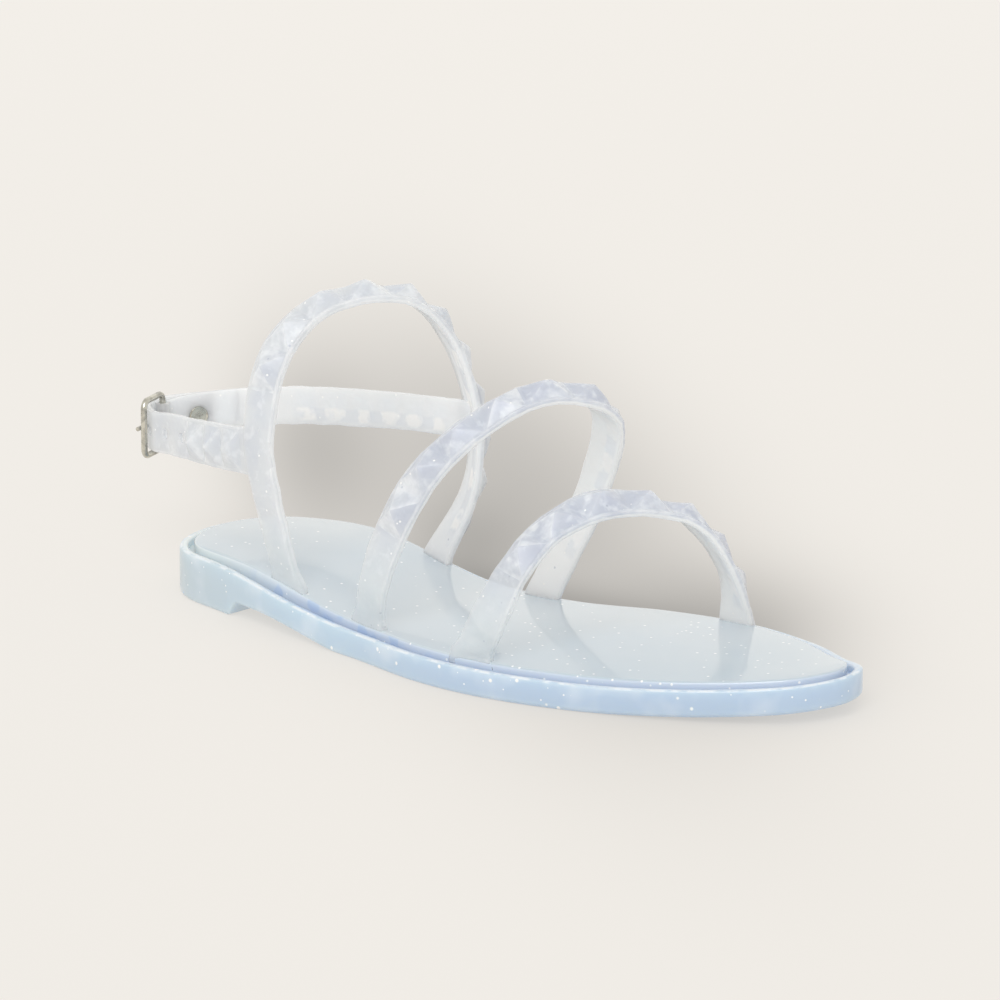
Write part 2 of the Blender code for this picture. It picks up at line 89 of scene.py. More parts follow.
def catmull_rom(before, start, end, after, t):
    """Point at t between start and end on a smooth curve through both."""
    return 0.5 * (
        2.0 * start
        + (end - before) * t
        + (2.0 * before - 5.0 * start + 4.0 * end - after) * t * t
        + (3.0 * start - before - 3.0 * end + after) * t * t * t
    )


def smooth_curve(points, steps, closed=False):
    """Points on a smooth curve through the given ones, with some steps for each span."""
    count = len(points)
    curve = []
    for span in range(count if closed else count - 1):
        if closed:
            four = [points[(span + k) % count] for k in (-1, 0, 1, 2)]
        else:
            four = [points[min(max(span + k, 0), count - 1)] for k in (-1, 0, 1, 2)]
        for step in range(steps):
            curve.append(catmull_rom(*four, step / steps))
    if not closed:
        curve.append(points[-1])
    return curve


def eased(forward, start, end, before, after):
    """Level that runs softly from one value to another between two stations."""
    share = min(max((forward - start) / (end - start), 0.0), 1.0)
    return before + (after - before) * (0.5 - 0.5 * math.cos(math.pi * share))


def toe_lift(forward):
    """Toe spring, which grows as a square from its start to the tip."""
    share = max((forward - SPRING_START) / (SPRING_END - SPRING_START), 0.0)
    return TOE_SPRING * share * share


def rim_top(forward):
    """Height of the lip: level heel, soft slope through the waist, level forefoot, toe spring."""
    return eased(forward, LIP_SLOPE_START, SLOPE_END, HEEL_TOP, FOREFOOT_TOP) + toe_lift(forward)


def groove_floor(forward):
    """Height of the recess's floor, which follows the lip."""
    return rim_top(forward) - RECESS_DEPTH


def underside(forward):
    """Height of the underside: flat heel, breast, arched waist, flat forefoot, toe spring."""
    arch = max(eased(forward, WAIST_START, WAIST_END, WAIST_LIFT, -WAIST_DIP), 0.0)
    return eased(forward, HEEL_LENGTH, HEEL_LENGTH + BREAST_LENGTH, 0.0, arch) + toe_lift(forward)


def sole_outline(steps):
    """Closed outline of the sole, from the heel round the lateral side to the toe and back."""
    lateral = [Vector((row.forward, row.lateral)) for row in OUTLINE[:-1]]
    medial = [Vector((row.forward, row.medial)) for row in reversed(OUTLINE[1:])]
    return smooth_curve(lateral + medial, steps, closed=True)


def inset_outline(outline, inset):
    """The outline moved inwards along its own normals."""
    count = len(outline)
    moved = []
    for index, point in enumerate(outline):
        along = (outline[(index + 1) % count] - outline[index - 1]).normalized()
        moved.append(point + inset * Vector((-along.y, along.x)))
    return moved


edge = sole_outline(OUTLINE_STEPS)
sole_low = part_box("outsole")[0]
HEEL_BACK = Vector(
    (
        sole_low.x - MM * min(point.x for point in edge),
        sole_low.y - MM * min(point.y for point in edge),
        sole_low.z,
    )
)


def start_piece(name):
    """Takes the primitive that was just added into edit mode under its own name."""
    piece = bpy.context.object
    piece.name = name
    piece.data.name = name
    bpy.ops.object.mode_set(mode="EDIT")
    return piece


def end_piece():
    """Leaves edit mode with all faces turned outwards."""
    bpy.ops.mesh.select_all(action="SELECT")
    bpy.ops.mesh.normals_make_consistent(inside=False)
    if bmesh.from_edit_mesh(bpy.context.object.data).calc_volume(signed=True) < 0.0:
        bpy.ops.mesh.flip_normals()
    bpy.ops.object.mode_set(mode="OBJECT")


def set_down(piece, angle):
    """Scales a piece from millimetres, sets it in the shoe's place and smooths it up to an angle."""
    piece.data.transform(Matrix.Translation(HEEL_BACK) @ Matrix.Scale(MM, 4))
    bpy.ops.object.select_all(action="DESELECT")
    piece.select_set(True)
    bpy.context.view_layer.objects.active = piece
    bpy.ops.object.shade_smooth_by_angle(angle=math.radians(angle))
    piece.select_set(False)


def close_across(bm, ring):
    """Closes a ring with strips that run straight across from the lateral to the medial side."""
    count = len(ring)
    half = count // 2
    bm.faces.new((ring[0], ring[1], ring[-1]))
    for index in range(1, half - 1):
        bm.faces.new((ring[index], ring[index + 1], ring[count - index - 1], ring[count - index]))
    bm.faces.new((ring[half - 1], ring[half], ring[half + 1]))


Row = namedtuple("Row", "inset height tone")


def ring_piece(name, outline, rows):
    """Ring of edges, extruded row after row to each row's inset and height, then closed at both ends."""
    bpy.ops.mesh.primitive_circle_add(vertices=len(outline), fill_type="NOTHING")
    piece = start_piece(name)
    bm = bmesh.from_edit_mesh(piece.data)
    station = bm.verts.layers.int.new("station")
    tone = bm.verts.layers.float.new("tone")
    for index, vert in enumerate(bm.verts):
        vert[station] = index
    for number, row in enumerate(rows):
        if number:
            bpy.ops.mesh.extrude_edges_move()
            bm = bmesh.from_edit_mesh(piece.data)
            station = bm.verts.layers.int["station"]
            tone = bm.verts.layers.float["tone"]
        places = inset_outline(outline, row.inset)
        for vert in bm.verts:
            if vert.select:
                place = places[vert[station]]
                vert.co = (place.x, place.y, row.height(place.x))
                vert[tone] = row.tone
        bmesh.update_edit_mesh(piece.data)
    bm = bmesh.from_edit_mesh(piece.data)
    station = bm.verts.layers.int["station"]
    verts = sorted(bm.verts, key=lambda vert: vert.index)
    count = len(outline)
    for ring in (verts[:count], verts[-count:]):
        close_across(bm, sorted(ring, key=lambda vert: vert[station]))
    bmesh.update_edit_mesh(piece.data)
    end_piece()
    return piece


def rounded(start, end, bulge_out):
    """Quarter round between two (inset, level) corners, as a few in-between corners."""
    corners = []
    for step in range(ROUND_STEPS + 1):
        angle = 0.5 * math.pi * step / ROUND_STEPS
        across, along = (math.sin(angle), 1.0 - math.cos(angle))
        if bulge_out:
            across, along = (1.0 - math.cos(angle), math.sin(angle))
        corners.append((start[0] + (end[0] - start[0]) * across, start[1] + (end[1] - start[1]) * along))
    return corners


WALL, LIP, GROOVE = 0.0, 0.5, 1.0


def outsole_rows():
    """Profile of the outsole from the underside up the wall, over the lip and down into the groove."""
    rows = []
    for inset, level in rounded((BOTTOM_ROUND, 0.0), (0.0, BOTTOM_ROUND), False):
        rows.append(Row(inset, lambda x, z=level: underside(x) + z, WALL))
    for inset, level in rounded((0.0, -LIP_ROUND), (LIP_ROUND, 0.0), True):
        tone = LIP + (LIP - WALL) * level / LIP_ROUND
        rows.append(Row(inset, lambda x, z=level: rim_top(x) + z, tone))
    for inset, level in rounded((LIP_WIDTH - LIP_ROUND, 0.0), (LIP_WIDTH, -LIP_ROUND), False):
        rows.append(Row(inset, lambda x, z=level: rim_top(x) + z, GROOVE))
    rows.append(Row(LIP_WIDTH, groove_floor, GROOVE))
    rows.append(Row(LIP_WIDTH + GROOVE_WIDTH, groove_floor, GROOVE))
    return rows


# A mottle is cloudy noise cut between two levels, and flakes are round specks. Their sizes are millimetres.
Mottle = namedtuple("Mottle", "size low high detail", defaults=(2.0,))
Flakes = namedtuple("Flakes", "pitch radius share")
FLAKE_CORE = 0.6


class Shade:
    """A value in a material: sums on it add Math nodes, and node adds a node of any other kind."""

    def __init__(self, tree, socket):
        self.tree = tree
        self.socket = socket

    def node(self, kind, settings, sockets, output=0):
        """A node of any kind with its settings and sockets, as the value of one of its outputs."""
        made = self.tree.nodes.new(kind)
        for name, value in settings.items():
            setattr(made, name, value)
        for name, value in sockets.items():
            if isinstance(value, Shade):
                self.tree.links.new(value.socket, made.inputs[name])
            else:
                made.inputs[name].default_value = value
        return Shade(self.tree, made.outputs[output])

    def output(self, name):
        """Another output of the node that this value comes from."""
        return Shade(self.tree, self.socket.node.outputs[name])

    def sum(self, operation, one, two, clamp=False):
        """A sum of two values, held between 0 and 1 where clamp is set."""
        return self.node("ShaderNodeMath", {"operation": operation, "use_clamp": clamp}, {0: one, 1: two})

    def __add__(self, other):
        return self.sum("ADD", self, other)

    def __radd__(self, other):
        return self.sum("ADD", other, self)

    def __sub__(self, other):
        return self.sum("SUBTRACT", self, other)

    def __rsub__(self, other):
        return self.sum("SUBTRACT", other, self)

    def __mul__(self, other):
        return self.sum("MULTIPLY", self, other)

    def __rmul__(self, other):
        return self.sum("MULTIPLY", other, self)

    def __gt__(self, other):
        return self.sum("GREATER_THAN", self, other)

    def math(self, operation):
        """A sum with no second value, such as the absolute value."""
        return self.node("ShaderNodeMath", {"operation": operation}, {0: self})

    def between(self, low, high):
        """0 below low, 1 above high, and a straight run between them."""
        return self.sum("MULTIPLY", self - low, 1.0 / (high - low), clamp=True)

    def blend(self, one, two):
        """Colour one where this value is 0, colour two where it is 1."""
        sockets = {0: self, 6: one, 7: two}
        return self.node("ShaderNodeMix", {"data_type": "RGBA"}, sockets, output=2)

    def noise(self, size, detail=2.0):
        """Cloudy value round a half, on this place, with blotches of a size in millimetres."""
        sockets = {"Vector": self, "Scale": 1.0 / (size * MM), "Detail": detail}
        return self.node("ShaderNodeTexNoise", {}, sockets)

    def mottle(self, row):
        """Cloudy patches on this place: none below the row's low level, full above its high one."""
        return self.noise(row.size, row.detail).between(row.low, row.high)

    def flakes(self, pitch, radius, share):
        """Mask of round flakes on this place: one in a cell, in some share of the cells, in millimetres."""
        cells = self.node("ShaderNodeTexVoronoi", {}, {"Vector": self, "Scale": 1.0 / (pitch * MM)})
        chance = self.node("ShaderNodeSeparateColor", {}, {0: cells.output("Color")})
        near = 1.0 - cells.between(FLAKE_CORE * radius / pitch, radius / pitch)
        return near * (chance + share > 1.0)


def new_material(name, piece):
    """Material of a piece, with its shader and the place on the piece that sums start from."""
    material = bpy.data.materials.new(name)
    material.use_nodes = True
    piece.data.materials.clear()
    piece.data.materials.append(material)
    tree = material.node_tree
    place = tree.nodes.new("ShaderNodeTexCoord").outputs["Object"]
    return tree.nodes["Principled BSDF"], Shade(tree, place)


def feed(shader, sockets):
    """Sets the shader's sockets, by a number or colour or by a link."""
    for name, value in sockets.items():
        if isinstance(value, Shade):
            value.tree.links.new(value.socket, shader.inputs[name])
        else:
            shader.inputs[name].default_value = value


def attribute(place, name):
    """Value that the piece's points carry under a name."""
    return place.node("ShaderNodeAttribute", {"attribute_name": name}, {}, output="Fac")


HEEL_BLUE = (0.56, 0.65, 0.71, 1.0)
ARCH_BLUE = (0.55, 0.68, 0.80, 1.0)
TOE_BLUE = (0.51, 0.63, 0.78, 1.0)
HEEL_RIM = (0.76, 0.83, 0.86, 1.0)
TOE_RIM = (0.63, 0.71, 0.84, 1.0)
RIM_DASH = (0.52, 0.64, 0.83, 1.0)
WHITE_CLOUD_AND_HIGHLIGHT = (0.80, 0.85, 0.93, 1.0)
FLAKE_AND_HIGHLIGHT_WHITE = (0.97, 0.98, 1.0, 1.0)
# Spans run from none to full, along the shoe in metres from its middle or over the tone of the profile.
# Depths say how far a colour shows.
RIM_TO_TOE = (-0.09, -0.03)
DASHES_FROM, DASHES_TO = (-0.07, -0.05), (0.0, 0.03)
DASH_MOTTLE, DASH_DEPTH = Mottle(6.5, 0.50, 0.56, 0.0), 0.9
HEEL_TO_ARCH, ARCH_TO_TOE = (-0.10, -0.04), (-0.03, 0.03)
WALL_MOTTLE, WALL_CLOUD_DEPTH = Mottle(14.0, 0.50, 0.75), 0.5
RIM_TONE = (0.45, 0.8)
LIP_HIGHLIGHT_FROM, LIP_HIGHLIGHT_TO = (0.15, 0.4), (0.55, 0.75)
LIP_HIGHLIGHT_MOTTLE, LIP_HIGHLIGHT_DEPTH = Mottle(5.0, 0.42, 0.55), 0.8
LARGE_PITCH, LARGE_RADIUS = 4.6, 0.75
LARGE_SHARE, LARGE_TOE_SHARE, LARGE_TO_TOE = 0.12, 0.3, (-0.05, 0.03)
SMALL_FLAKES = Flakes(2.3, 0.35, 0.25)


def rim_blue(place):
    """Blue of the rim: greyer at the heel, with darker dashes along the waist."""
    forward = place.node("ShaderNodeSeparateXYZ", {}, {0: place})
    plain = forward.between(*RIM_TO_TOE).blend(HEEL_RIM, TOE_RIM)
    waist = forward.between(*DASHES_FROM) * (1.0 - forward.between(*DASHES_TO))
    dashes = place.mottle(DASH_MOTTLE) * waist
    return (dashes * DASH_DEPTH).blend(plain, RIM_DASH)


outsole = ring_piece("moulded_outsole", edge, outsole_rows())
set_down(outsole, SOLE_SMOOTH)
shader, place = new_material("blue_glitter_pvc", outsole)
forward = place.node("ShaderNodeSeparateXYZ", {}, {0: place})
heel_blue = forward.between(*HEEL_TO_ARCH).blend(HEEL_BLUE, ARCH_BLUE)
wall_blue = forward.between(*ARCH_TO_TOE).blend(heel_blue, TOE_BLUE)
wall_blue = (place.mottle(WALL_MOTTLE) * WALL_CLOUD_DEPTH).blend(wall_blue, WHITE_CLOUD_AND_HIGHLIGHT)
tone = attribute(place, "tone")
sole_blue = tone.between(*RIM_TONE).blend(wall_blue, rim_blue(place))
# Painted highlight: a broken white line along the lip's rounded outer edge.
painted_lip_highlight = tone.between(*LIP_HIGHLIGHT_FROM) * (1.0 - tone.between(*LIP_HIGHLIGHT_TO)) * place.mottle(LIP_HIGHLIGHT_MOTTLE)
sole_blue = (painted_lip_highlight * LIP_HIGHLIGHT_DEPTH).blend(sole_blue, WHITE_CLOUD_AND_HIGHLIGHT)
large_share = LARGE_SHARE + LARGE_TOE_SHARE * forward.between(*LARGE_TO_TOE)
flakes = place.flakes(LARGE_PITCH, LARGE_RADIUS, large_share) + place.flakes(*SMALL_FLAKES)
feed(
    shader,
    {
        "Base Color": flakes.between(0.0, 1.0).blend(sole_blue, FLAKE_AND_HIGHLIGHT_WHITE),
        "Roughness": 0.30,
        "Subsurface Weight": 0.7,
        "Subsurface Radius": (0.8, 0.9, 1.0),
        "Subsurface Scale": 0.005,
        "IOR": 1.5,
        "Coat Weight": 0.15,
        "Coat Roughness": 0.15,
    },
)
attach(outsole, "root")
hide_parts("outsole")


# Footbed: a milky white plate of the same soft PVC with finer glitter, set in the recess so that its
# polished top stands a little proud of the lip. Its side, seen across the groove, is blue like the sole.
HEEL_BED, FOREFOOT_BED = 16.6, 9.8
BED_SLOPE_START = 40.0
FOOTBED_ROUND = 0.9


def footbed_top(forward):
    """Height of the footbed, which stands proud of the lip, most of all at the heel."""
    return eased(forward, BED_SLOPE_START, SLOPE_END, HEEL_BED, FOREFOOT_BED) + toe_lift(forward)


def footbed_rows():
    """Profile of the footbed from its underside up the straight edge and over the rounded top edge."""
    side = LIP_WIDTH + GROOVE_WIDTH
    rows = [Row(side, lambda x: groove_floor(x) + GAP, GROOVE)]
    for inset, level in rounded((side, -FOOTBED_ROUND), (side + FOOTBED_ROUND, 0.0), True):
        tone = GROOVE * -level / FOOTBED_ROUND
        rows.append(Row(inset, lambda x, z=level: footbed_top(x) + z, tone))
    return rows


FOOTBED_WHITE = (0.58, 0.65, 0.71, 1.0)
FOOTBED_BLUE = (0.51, 0.60, 0.68, 1.0)
BED_MOTTLE, BED_CLOUD_DEPTH = Mottle(30.0, 0.35, 0.7), 0.5
BED_TO_TOE, BED_TOE_DEPTH = (0.03, 0.09), 0.5
BED_SIDE_TONE = (0.25, 0.6)
BED_FLAKES = Flakes(2.6, 0.5, 0.3)

footbed = ring_piece("milky_footbed", edge, footbed_rows())
set_down(footbed, SOLE_SMOOTH)
shader, place = new_material("milky_glitter_pvc", footbed)
forward = place.node("ShaderNodeSeparateXYZ", {}, {0: place})
cloud = BED_CLOUD_DEPTH * place.mottle(BED_MOTTLE) + BED_TOE_DEPTH * forward.between(*BED_TO_TOE)
milky = cloud.blend(FOOTBED_WHITE, FOOTBED_BLUE)
milky = attribute(place, "tone").between(*BED_SIDE_TONE).blend(milky, rim_blue(place))
feed(
    shader,
    {
        "Base Color": place.flakes(*BED_FLAKES).blend(milky, FLAKE_AND_HIGHLIGHT_WHITE),
        "Roughness": 0.15,
        "Subsurface Weight": 0.5,
        "Subsurface Radius": (0.9, 1.0, 1.0),
        "Subsurface Scale": 0.003,
        "IOR": 1.5,
        "Coat Weight": 0.7,
        "Coat Roughness": 0.05,
    },
)
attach(footbed, "root")
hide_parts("footbed")


# Toe and mid straps: clear milky PVC bands with pyramid studs on the outer face, moulded flat and bent over
# the foot. Each stands with both feet in the footbed's edge and flares a little where it leaves it.
STRAP_WALL = 2.4
STRAP_WIDTH = 11.0
STUD_HEIGHT = 3.8
STUD_MARGIN = 0.8
PLAIN_STEP = 6.5
EDGE_ROUND = 0.35
EDGE_SEGMENTS = 2
EDGE_ANGLE = 0.2
STRAP_CUTS = 2
STRAP_SMOOTH = 50.0
WOBBLE = 0.3
WOBBLE_SIZE = 4.0
WOBBLE_SEED = 5
FOOT_INSET = 6.0
FOOT_RISE = 1.2
FOOT_WIDTH = 11.0
LATERAL_FLARE, MEDIAL_FLARE = 3.0, 0.6
FLARE_REACH = 6.0
PATH_STEPS = 24
TANGENT_REACH = 2.0
Studs = namedtuple("Studs", "start pitch count")
TOE_STUDS = Studs(32.2, 14.4, 7)
MID_STUDS = Studs(36.2, 14.4, 10)
# turn is the heading of the strap's width seen from above, tilt is how far its front edge leans down
Bend = namedtuple("Bend", "forward across height width turn tilt", defaults=(0.0, 0.0))
TOE_ROOTS = (149.8, 182.0)
TOE_ROUTE = (
    Bend(155.0, -41.0, 22.0, 12.0, 6.0),
    Bend(159.0, -35.0, 35.5, 11.5, 2.0),
    Bend(162.0, -23.0, 46.6, 11.5, 0.0, 6.0),
    Bend(168.5, -7.0, 52.8, 12.0, 0.0, 18.0),
    Bend(176.0, 9.0, 50.6, 12.0, 0.0, 18.0),
    Bend(181.0, 23.0, 42.5, 11.5, -8.0, 8.0),
    Bend(183.5, 35.0, 26.0, 11.5, -24.0),
)
MID_ROOTS = (103.2, 120.0)
MID_ROUTE = (
    Bend(107.5, -38.5, 25.0, 11.0, -6.0),
    Bend(114.5, -36.0, 45.0, 11.6),
    Bend(122.2, -29.5, 61.0, 11.6),
    Bend(131.0, -18.5, 73.0, 11.0),
    Bend(141.0, -5.0, 81.0, 11.0, 0.0, 8.0),
    Bend(148.0, 10.0, 79.0, 12.0, 0.0, 18.0),
    Bend(146.0, 23.0, 67.0, 11.5, 0.0, 8.0),
    Bend(132.6, 28.2, 39.0, 11.0),
)


class Route:
    """A smooth strap path that gives the place and the directions of the strap at a length along it."""

    def __init__(self, rows, upright):
        self.rows = smooth_curve([Vector(row) for row in rows], PATH_STEPS)
        self.upright = upright
        self.marks = [0.0]
        for one, two in zip(self.rows, self.rows[1:]):
            self.marks.append(self.marks[-1] + (Vector(two[:3]) - Vector(one[:3])).length)
        self.length = self.marks[-1]

    def at(self, length):
        """Bend row at a length along the path."""
        index = min(max(bisect_left(self.marks, length), 1), len(self.marks) - 1)
        before, after = self.marks[index - 1], self.marks[index]
        return Bend(*self.rows[index - 1].lerp(self.rows[index], (length - before) / (after - before)))

    def frame(self, length):
        """Place, width direction, outward direction and strap width at a length along the path."""
        row = self.at(length)
        ahead = self.at(min(length + TANGENT_REACH, self.length))
        behind = self.at(max(length - TANGENT_REACH, 0.0))
        along = (Vector(ahead[:3]) - Vector(behind[:3])).normalized()
        across = Vector((0.0, 0.0, -1.0))
        if not self.upright:
            turn, tilt = math.radians(row.turn), math.radians(row.tilt)
            level = math.cos(tilt)
            across = Vector((level * math.cos(turn), level * math.sin(turn), -math.sin(tilt)))
        across = (across - across.dot(along) * along).normalized()
        return Vector(row[:3]), across, across.cross(along), row.width


def strap_root(forward, medial):
    """Bend rows of a strap foot that stands upright in the footbed's edge, turned along the sole's edge."""
    line = inset_outline(edge, FOOT_INSET)
    half = len(line) // 2
    side = list(reversed(line[half:])) if medial else line[: half + 1]
    number = bisect_left([point.x for point in side], forward)
    one, two = side[number - 1], side[number]
    place = one + (two - one) * ((forward - one.x) / (two.x - one.x))
    turn = math.degrees(math.atan2(two.y - one.y, two.x - one.x))
    heights = (groove_floor(place.x) + GAP, footbed_top(place.x) + FOOT_RISE)
    return [Bend(place.x, place.y, height, FOOT_WIDTH, turn) for height in heights]


def loop_route(roots, rows):
    """Route of a strap that crosses the foot from its lateral root to its medial root."""
    lateral, medial = strap_root(roots[0], False), strap_root(roots[1], True)
    return Route((*lateral, *rows, *reversed(medial)), upright=False)


def pick(piece, kind, test):
    """Selects the faces or edges of a piece in edit mode that pass a test."""
    bpy.ops.mesh.select_mode(type=kind)
    bpy.ops.mesh.select_all(action="DESELECT")
    bm = bmesh.from_edit_mesh(piece.data)
    for item in bm.faces if kind == "FACE" else bm.edges:
        item.select_set(test(item))
    bmesh.update_edit_mesh(piece.data)


def strap_marks(length, studs):
    """Lengths at which a band is divided: even steps on its plain ends, and the ends of each stud."""
    end = studs.start + studs.count * studs.pitch
    before = math.ceil(studs.start / PLAIN_STEP)
    after = math.ceil((length - end) / PLAIN_STEP)
    marks = [studs.start * step / before for step in range(before)]
    marks += [studs.start + studs.pitch * number for number in range(studs.count)]
    marks += [end + (length - end) * step / after for step in range(after + 1)]
    return marks


def strap_piece(name, route, wall, studs, feet):
    """Band modelled flat along +X with its studs and rounded edges, then laid along its route."""
    marks = strap_marks(route.length, studs)
    cells = len(marks) - 1
    stud_end = studs.start + studs.count * studs.pitch
    bpy.ops.mesh.primitive_grid_add(x_subdivisions=cells, y_subdivisions=1, size=1.0)
    strap = start_piece(name)
    bm = bmesh.from_edit_mesh(strap.data)
    for vert in bm.verts:
        vert.co.x = marks[round((vert.co.x + 0.5) * cells)]
        vert.co.y *= STRAP_WIDTH
    bmesh.update_edit_mesh(strap.data)
    bpy.ops.mesh.select_all(action="SELECT")
    bpy.ops.mesh.extrude_region_move(TRANSFORM_OT_translate={"value": (0.0, 0.0, wall)})
    bpy.ops.mesh.select_all(action="SELECT")
    bpy.ops.mesh.normals_make_consistent(inside=False)

    def studded(face):
        return face.normal.z > 0.5 and studs.start < face.calc_center_median().x < stud_end

    pick(strap, "FACE", studded)
    bpy.ops.mesh.inset(thickness=STUD_MARGIN, depth=0.0, use_individual=True)
    bpy.ops.mesh.poke(offset=STUD_HEIGHT)
    pick(strap, "EDGE", lambda item: item.calc_face_angle(0.0) > EDGE_ANGLE)
    bpy.ops.mesh.bevel(offset=EDGE_ROUND, segments=EDGE_SEGMENTS, affect="EDGES", clamp_overlap=True)
    bpy.ops.mesh.select_all(action="SELECT")
    bpy.ops.mesh.quads_convert_to_tris()
    bpy.ops.mesh.subdivide(number_cuts=STRAP_CUTS)
    bm = bmesh.from_edit_mesh(strap.data)
    for vert in bm.verts:
        length, side, rise = vert.co
        length = min(max(length, 0.0), route.length)
        place, across, outward, width = route.frame(length)
        if feet:
            seat = footbed_top(place.x) - groove_floor(place.x) - GAP
            above = min(length, route.length - length) - seat
            flare = LATERAL_FLARE if length < 0.5 * route.length else MEDIAL_FLARE
            width += 2.0 * flare * (1.0 - min(max(above / FLARE_REACH, 0.0), 1.0)) ** 2
        vert.co = place + side * (width / STRAP_WIDTH) * across + (rise - 0.5 * wall) * outward
        if feet and (length < EDGE_ROUND or length > route.length - EDGE_ROUND):
            vert.co.z = max(vert.co.z, groove_floor(vert.co.x) + GAP)
    bmesh.update_edit_mesh(strap.data)
    end_piece()
    return strap


Run = namedtuple("Run", "route studs")


def mark_points(strap, runs):
    """Notes on each point of a strap where it lies on the nearest of the strap's routes.

    These are the studs passed so far, the place across the band, whether the band is studded there, the
    height above its middle layer, and how far its outer face looks up.
    """
    places = []
    for run in runs:
        for step in range(round(run.route.length) + 1):
            places.append((run, min(float(step), run.route.length)))
    tree = kdtree.KDTree(len(places))
    for number, (run, length) in enumerate(places):
        tree.insert(run.route.frame(length)[0], number)
    tree.balance()
    names = ("passed", "across_band", "on_studs", "layer", "crown")
    for name in names:
        strap.data.attributes.new(name, "FLOAT", "POINT")
    notes = {name: strap.data.attributes[name].data for name in names}
    for vert in strap.data.vertices:
        run, length = places[tree.find(vert.co)[1]]
        place, across, outward, width = run.route.frame(length)
        length += (vert.co - place).dot(outward.cross(across))
        passed = (length - run.studs.start) / run.studs.pitch
        values = (
            passed,
            (vert.co - place).dot(across) / width,
            1.0 if 0.0 <= passed <= run.studs.count else 0.0,
            (vert.co - place).dot(outward),
            max(outward.z, 0.0),
        )
        for name, value in zip(names, values):
            notes[name][vert.index].value = value


def soften(strap):
    """Makes the strap a little uneven, as soft PVC is, apart from its feet and its buckle end."""
    noise.seed_set(WOBBLE_SEED)
    for vert in strap.data.vertices:
        above = vert.co.z - footbed_top(vert.co.x)
        share = min(max(above / FLARE_REACH, 0.0), 1.0) * min(max(vert.co.x / FLARE_REACH, 0.0), 1.0)
        vert.co += share * WOBBLE * noise.noise_vector(vert.co / WOBBLE_SIZE)


STRAP_WHITE = (0.645, 0.67, 0.71, 1.0)
STRAP_LAVENDER = (0.53, 0.56, 0.65, 1.0)
STRAP_SEA = (0.66, 0.74, 0.78, 1.0)
STRAP_BRIGHT = (0.90, 0.93, 0.98, 1.0)
DARK_FLECK_AND_REFLECTION = (0.36, 0.38, 0.48, 1.0)
# Spans run from none to full: of the layer in millimetres, of places on the shoe in metres, and across the
# band or ahead on a stud in shares of its size. Depths say how far a colour shows.
OUTER_LAYER = (-0.3, 0.3)
CROWN_SPAN, FRONT_SPAN = (0.05, 0.6), (-0.035, -0.01)
CROWN_SHADE_DEPTH, CROWN_FRONT_SHADE_DEPTH = 0.1, 0.65
CLOUD_MOTTLE, CLOUD_DEPTH = Mottle(8.0, 0.42, 0.66, 3.0), 0.4
INNER_LIGHT_DEPTH, INNER_FRONT_LIGHT_DEPTH = 0.65, 0.35
STUD_EDGE = 0.43
FACET_LUCK, FACET_BLOTCH, FACET_EVEN = 0.45, 4.0, 0.22
SHADED_FACET_SPAN, SHADED_FACET_DEPTH = (0.2, 0.45), 0.45
LIT_FACET_SPAN, LIT_FACET_DEPTH = (0.55, 0.8), 0.5
GLINT_SPAN, GLINT_MOTTLE, GLINT_DEPTH = (0.42, 0.45), Mottle(7.0, 0.4, 0.6), 0.35
FROST_MOTTLE, FROST_DEPTH = Mottle(3.2, 0.55, 0.68, 3.0), 0.25
SPOT_FROM, SPOT_TO, SPOT_AHEAD = (0.0, 0.08), (0.34, 0.42), (0.12, 0.30)
SPOT_BLOTCH, SPOT_UNEVEN = 5.0, 0.9
SPOT_HIGHLIGHT_DEPTH, SPOT_SHADE_DEPTH = 0.9, 0.25
LOW_SPAN, NEAR_SPAN, SEA_DEPTH = (0.014, 0.040), (-0.02, 0.0), 0.7
SLIT_REFLECTION_FROM, SLIT_REFLECTION_TO, SLIT_REFLECTION_AHEAD = (0.24, 0.31), (0.33, 0.40), (0.12, 0.28)
REFLECTION_DRAW_STEP, REFLECTION_DRAW_START, REFLECTION_CHANCE = 7.3, 0.31, 0.55
SLIT_REFLECTION_MOTTLE, SLIT_REFLECTION_DEPTH = Mottle(4.0, 0.40, 0.55), 0.5
DARK_FLAKES, DARK_FLAKE_DEPTH = Flakes(4.5, 0.45, 0.2), 0.5
STRAP_FLAKES = Flakes(3.2, 0.45, 0.35)
BAND_ALPHA, LOW_CLEAR, NEAR_CLEAR = 0.93, 0.1, 0.45
RIPPLE_SIZE, RIPPLE_DETAIL = 3.0, 3.0


